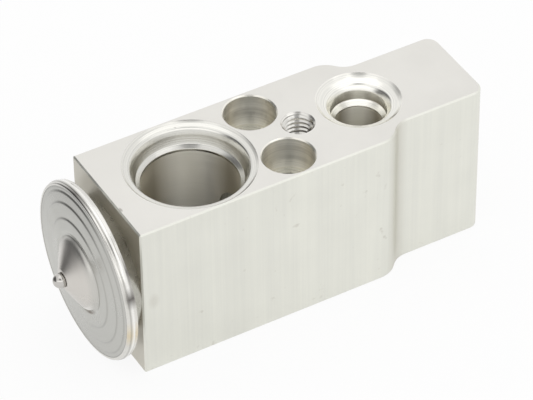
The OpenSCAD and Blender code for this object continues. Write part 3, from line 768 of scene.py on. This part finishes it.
def part_finishes(mesh, rim_r):
    """Gives what lies beyond a radius the second finish of two, the rim's."""
    for face in mesh.polygons:
        r = math.hypot(face.center.y, face.center.z - AXIS_Z * MM) / MM
        face.material_index = 1 if r > rim_r else 0


def dress_cap():
    # Painted shade along the cap's steps and its edge groove: radius and half width in millimetres, and
    # strength
    crease_shades = [(step_r + 0.1, 0.28, 0.34) for step_r in STEP_RADII]
    crease_shades.append((EDGE_GROOVE_R + 0.1, 0.22, 0.75))
    finishes = [pressed_stainless("cap_sheet", CAP_STAINLESS, 0.30, crease_shades),
                welded_rim("cap_edge", LIT_RIM_STAINLESS, 0.14)]
    mesh = lathe_mesh("head_cap_sheet", cap_outline(), CAP_SEGMENTS, 35.0)
    keep("head_cap_sheet", mesh, "valve_body", finishes, ["head_cap"])
    part_finishes(mesh, CAP_RIM_R)


def dress_base():
    finishes = [pressed_stainless("base_sheet", STAINLESS, 0.28),
                welded_rim("rim_weld", LIT_RIM_STAINLESS, 0.12)]
    mesh = merged_copy("head_base", "head_base_sheet", 25.0)
    keep("head_base_sheet", mesh, "valve_body", finishes, ["head_base"])
    part_finishes(mesh, BASE_RIM_R)


def dress_ball():
    mesh = bpy.data.meshes.new("charge_ball_steel")
    centre = Matrix.Translation(place(RIM_FRONT_X - BALL_FORWARD, 0, AXIS_Z))
    work = bmesh.new()
    bmesh.ops.create_uvsphere(work, u_segments=64, v_segments=32, radius=BALL_R * MM, matrix=centre)
    work.to_mesh(mesh)
    work.free()
    mesh.shade_smooth()
    steel = plain_metal("ball_steel", (0.62, 0.60, 0.57), 0.10)
    keep("charge_ball_steel", mesh, "valve_body", [steel], ["charge_ball"])


dress_cap()
dress_base()
dress_ball()


# Thread of the clamp hole

# Inputs of its tree: sizes in millimetres, and the number of turns
CLAMP_THREAD = {
    "Root radius": 2.78, "Pitch": 1.0, "Turns": 10.0,
    "Ridge height": 0.5, "Root width": 0.14, "Crest width": 0.92,
}
CLAMP_THREAD_DEPTH = 10.75


def thread_tree(name, labels):
    """A geometry tree that sweeps a thread's ridge along a helix about Z, and the names of its inputs."""
    tree = bpy.data.node_groups.new(name, "GeometryNodeTree")
    kinds = {label: "NodeSocketFloat" for label in labels}
    kinds["Finish"] = "NodeSocketMaterial"
    sockets = {}
    for label, kind in kinds.items():
        sockets[label] = tree.interface.new_socket(label, in_out="INPUT", socket_type=kind).identifier
    tree.interface.new_socket("Geometry", in_out="OUTPUT", socket_type="NodeSocketGeometry")
    given = tree.nodes.new("NodeGroupInput").outputs

    def step(kind, **settings):
        return add(tree, kind, "GeometryNode", **settings).outputs[0]

    rise = calc(tree, "MULTIPLY", given["Pitch"], given["Turns"])
    helix = step("CurveSpiral", Resolution=64, Rotations=given["Turns"], Start_Radius=given["Root radius"],
                 End_Radius=given["Root radius"], Height=rise)
    upright = step("SetCurveNormal", mode="Z_UP", Curve=helix)
    ridge = step("CurvePrimitiveQuadrilateral", mode="TRAPEZOID", Bottom_Width=given["Root width"],
                 Top_Width=given["Crest width"], Height=given["Ridge height"], Offset=0.0)
    turned = step("Transform", Geometry=ridge, Rotation=(0.0, 0.0, math.radians(90)))
    swept = step("CurveToMesh", Curve=upright, Profile_Curve=turned, Fill_Caps=True)
    real = step("RealizeInstances", Geometry=swept)
    painted = step("SetMaterial", Geometry=real, Material=given["Finish"])
    tree.links.new(painted, tree.nodes.new("NodeGroupOutput").inputs[0])
    return tree, sockets


def cut_thread(name, sizes, finish, foot, body):
    """Makes one thread with its tree and turns it into a plain mesh that stands on its foot."""
    tree, sockets = thread_tree("thread_ridge", sizes)
    holder = put_in_scene(name, bpy.data.meshes.new(name))
    modifier = holder.modifiers.new("thread", "NODES")
    modifier.node_group = tree
    for label, value in sizes.items():
        modifier[sockets[label]] = value * (1.0 if label == "Turns" else MM)
    modifier[sockets["Finish"]] = finish
    bpy.context.view_layer.update()
    grown = holder.evaluated_get(bpy.context.evaluated_depsgraph_get())
    ready = bpy.data.meshes.new_from_object(grown)
    bpy.data.objects.remove(holder)
    ready.transform(Matrix.Translation(foot))
    work = bmesh.new()
    work.from_mesh(ready)
    bmesh.ops.recalc_face_normals(work, faces=work.faces)
    work.to_mesh(ready)
    work.free()
    ready.name = name
    shade(ready, 25.0)
    keep(name, ready, body, [finish])


thread_finish = turned_aluminium("thread_cut", ALUMINIUM, 0.16, place(CLAMP_X, 0, 0))
cut_thread("clamp_thread", CLAMP_THREAD, thread_finish, place(CLAMP_X, 0, BODY_T - CLAMP_THREAD_DEPTH),
           "valve_body")


# Inner parts

def dress_inner_parts():
    brass = plain_metal("turned_brass", (0.72, 0.55, 0.27), 0.24)
    spring = plain_metal("spring_wire", (0.50, 0.50, 0.50), 0.22)
    holder = plain_metal("holder_steel", (0.42, 0.42, 0.38), 0.20)
    bright = plain_metal("ground_steel", (0.60, 0.59, 0.58), 0.12)
    thin = plain_metal("thin_stainless", (0.58, 0.57, 0.55), 0.22)
    retainer = plain_metal("retainer_sheet", (0.86, 0.85, 0.74), 0.42)
    rod = turned_aluminium("rod_turning", (0.76, 0.75, 0.73), 0.22, place(0, 0, AXIS_Z), axis="X")
    rubber = soft_plastic("green_rubber", (0.020, 0.075, 0.035), 0.45)
    white = soft_plastic("white_washer", (0.80, 0.79, 0.74), 0.40)
    choices = {
        "diaphragm": thin, "diaphragm_stop": brass, "head_seal_ring": rubber, "sensing_rod": rod,
        "rod_seal_ring": rubber, "rod_backup_washer": white, "rod_seal_retainer": retainer,
        "operating_pin": bright, "orifice_ring": bright, "valve_ball": bright, "ball_holder": holder,
        "damping_ring": thin, "superheat_spring": spring, "adjusting_screw": brass, "screw_seal_ring": rubber,
    }
    for node, material in choices.items():
        mesh = nodes[node].data
        while len(nodes[node].material_slots) == 0:
            mesh.materials.append(material)
        for material_slot in nodes[node].material_slots:
            material_slot.material = material


dress_inner_parts()


# Floor and light

# How bright the tent is where metal shows it, and where it lights the valve
TENT_GLOSS = 0.95
TENT_LIGHT = 0.90

# Patches of the tent that metal shows darker or lighter: azimuth, elevation, half width and half height in
# degrees, and brightness
TENT_PATCHES = [
    (-29.6, 58.0, 14.0, 14.0, 0.35),
    (-29.6, 30.0, 48.0, 9.0, 1.5),
    (-126.0, 12.0, 36.0, 24.0, 0.15),
]

# Half width of the floor and its height, in metres
FLOOR_HALF = 3.0
FLOOR_Z = -0.00002

# The dark wedge that metal sees on the floor: where it starts in metres, and its ways ahead and aside
WEDGE_START = (-0.045, 0.0, 0.0)
WEDGE_AHEAD = (-0.600, 0.800, 0.0)
WEDGE_ASIDE = (0.800, 0.600, 0.0)

# Painted shadow: the dark floor under the block as metal sees it, in millimetres: its middle, its half widths
# and how softly it ends
UNDER_X = 39.0
UNDER_HALVES = (("X", 38.5), ("Y", 9.4))
UNDER_EDGE = 1.0

LAMP_AIM = Vector((0.0, 0.0, 0.018))


def mirrored_ray(tree, path):
    """1 for what shows in metal or glass, and 0 for all else."""
    return calc(tree, "MAXIMUM", path.outputs["Is Glossy Ray"], path.outputs["Is Transmission Ray"])


def seen_share(tree, to_camera, to_gloss):
    """One number for what the camera sees straight on, and another for what shows in metal or glass."""
    path = add(tree, "LightPath")
    return calc(tree, "MAXIMUM", calc(tree, "MULTIPLY", path.outputs["Is Camera Ray"], to_camera),
                calc(tree, "MULTIPLY", mirrored_ray(tree, path), to_gloss))


def gap_and_shadow_share(tree):
    """Where metal sees a dark floor: a painted shadow under the block, and a wedge that runs away from the
    head.
    """
    where = object_place(tree, WEDGE_START)
    ahead = calc(tree, "MAXIMUM", dot(tree, where, WEDGE_AHEAD), 0.001)
    aside = calc(tree, "DIVIDE", calc(tree, "ABSOLUTE", dot(tree, where, WEDGE_ASIDE)), ahead)
    narrow = spread(tree, aside, 0.25, 0.70, 1.0, 0.0)
    wedge = calc(tree, "MULTIPLY", narrow, spread(tree, ahead, 0.034, 0.090))
    split = split_place(tree, place(UNDER_X, 0, 0))
    inside = []
    for axis, half in UNDER_HALVES:
        off = calc(tree, "ABSOLUTE", split[axis])
        inside.append(spread(tree, off, (half - UNDER_EDGE) * MM, half * MM, 1.0, 0.0))
    dark = calc(tree, "MAXIMUM", wedge, calc(tree, "MULTIPLY", *inside))
    return calc(tree, "MULTIPLY", dark, add(tree, "LightPath").outputs["Is Glossy Ray"])


def mix_shaders(tree, share, first, second):
    mix = add(tree, "MixShader", Fac=share)
    tree.links.new(first.outputs[0], mix.inputs[1])
    tree.links.new(second.outputs[0], mix.inputs[2])
    return mix


def make_floor():
    mesh = bpy.data.meshes.new("pale_floor")
    corners = [(-1, -1), (1, -1), (1, 1), (-1, 1)]
    mesh.from_pydata([(x * FLOOR_HALF, y * FLOOR_HALF, FLOOR_Z) for x, y in corners], [], [(0, 1, 2, 3)])
    floor = put_in_scene("pale_floor", mesh)
    material = bpy.data.materials.new("pale_floor")
    tree = empty_tree(material)
    matte = add(tree, "BsdfDiffuse", Color=(0.92, 0.92, 0.92, 1.0))
    glow = add(tree, "Emission", Color=WHITE, Strength=1.0)
    pale = mix_shaders(tree, seen_share(tree, 0.90, 0.62), matte, glow)
    # Metal sees the floor end in the gap between the tent's two sides, and a painted shadow under the block
    gap_and_shadow_glow = add(tree, "Emission", Color=WHITE, Strength=0.12)
    mix = mix_shaders(tree, gap_and_shadow_share(tree), pale, gap_and_shadow_glow)
    tree.links.new(mix.outputs[0], add(tree, "OutputMaterial").inputs[0])
    mesh.materials.append(material)


def tent_patch(tree, way, azimuth, elevation, half_width, half_height, brightness):
    """A soft-edged patch of the tent as metal shows it: 1 outside it and its brightness within."""
    middle = direction(azimuth, elevation)
    across = Vector((-middle.y, middle.x, 0.0)).normalized()
    upward = middle.cross(across)
    parts = []
    for axis, half in ((across, half_width), (upward, half_height)):
        reach = dot(tree, way, axis / math.sin(math.radians(half)))
        parts.append(calc(tree, "MULTIPLY", reach, reach))
    behind = calc(tree, "MULTIPLY", calc(tree, "LESS_THAN", dot(tree, way, middle), 0.0), 9.0)
    off = calc(tree, "ADD", calc(tree, "ADD", *parts), behind)
    return spread(tree, off, 0.55, 1.5, brightness, 1.0)


def make_world():
    world = bpy.data.worlds.new("white_tent")
    bpy.context.scene.world = world
    tree = empty_tree(world)
    path = add(tree, "LightPath")
    way = add(tree, "TexCoord").outputs["Generated"]
    tent = TENT_GLOSS
    for patch in TENT_PATCHES:
        tent = calc(tree, "MULTIPLY", tent_patch(tree, way, *patch), tent)
    mirrored = mirrored_ray(tree, path)
    camera = path.outputs["Is Camera Ray"]
    plain = calc(tree, "SUBTRACT", 1.0, calc(tree, "MAXIMUM", mirrored, camera))
    straight = calc(tree, "ADD", camera, calc(tree, "MULTIPLY", plain, TENT_LIGHT))
    strength = calc(tree, "ADD", calc(tree, "MULTIPLY", mirrored, tent), straight)
    back = add(tree, "Background", Color=WHITE, Strength=strength)
    tree.links.new(back.outputs[0], add(tree, "OutputWorld").inputs[0])


def make_lamp(name, stand, size, watts):
    data = bpy.data.lights.new(name, "AREA")
    data.shape = "RECTANGLE"
    data.size, data.size_y = size
    data.energy = watts
    lamp = put_in_scene(name, data)
    turn = (LAMP_AIM - Vector(stand)).to_track_quat("-Z", "Y").to_matrix().to_4x4()
    lamp.matrix_world = Matrix.Translation(Vector(stand)) @ turn


make_floor()
make_world()
make_lamp("tent_top", (0.05, 0.05, 0.75), (0.7, 0.7), 0.5)
make_lamp("tent_right", (0.31, -0.55, 0.55), (0.45, 0.45), 0.16)

bpy.context.scene.view_settings.view_transform = "Standard"
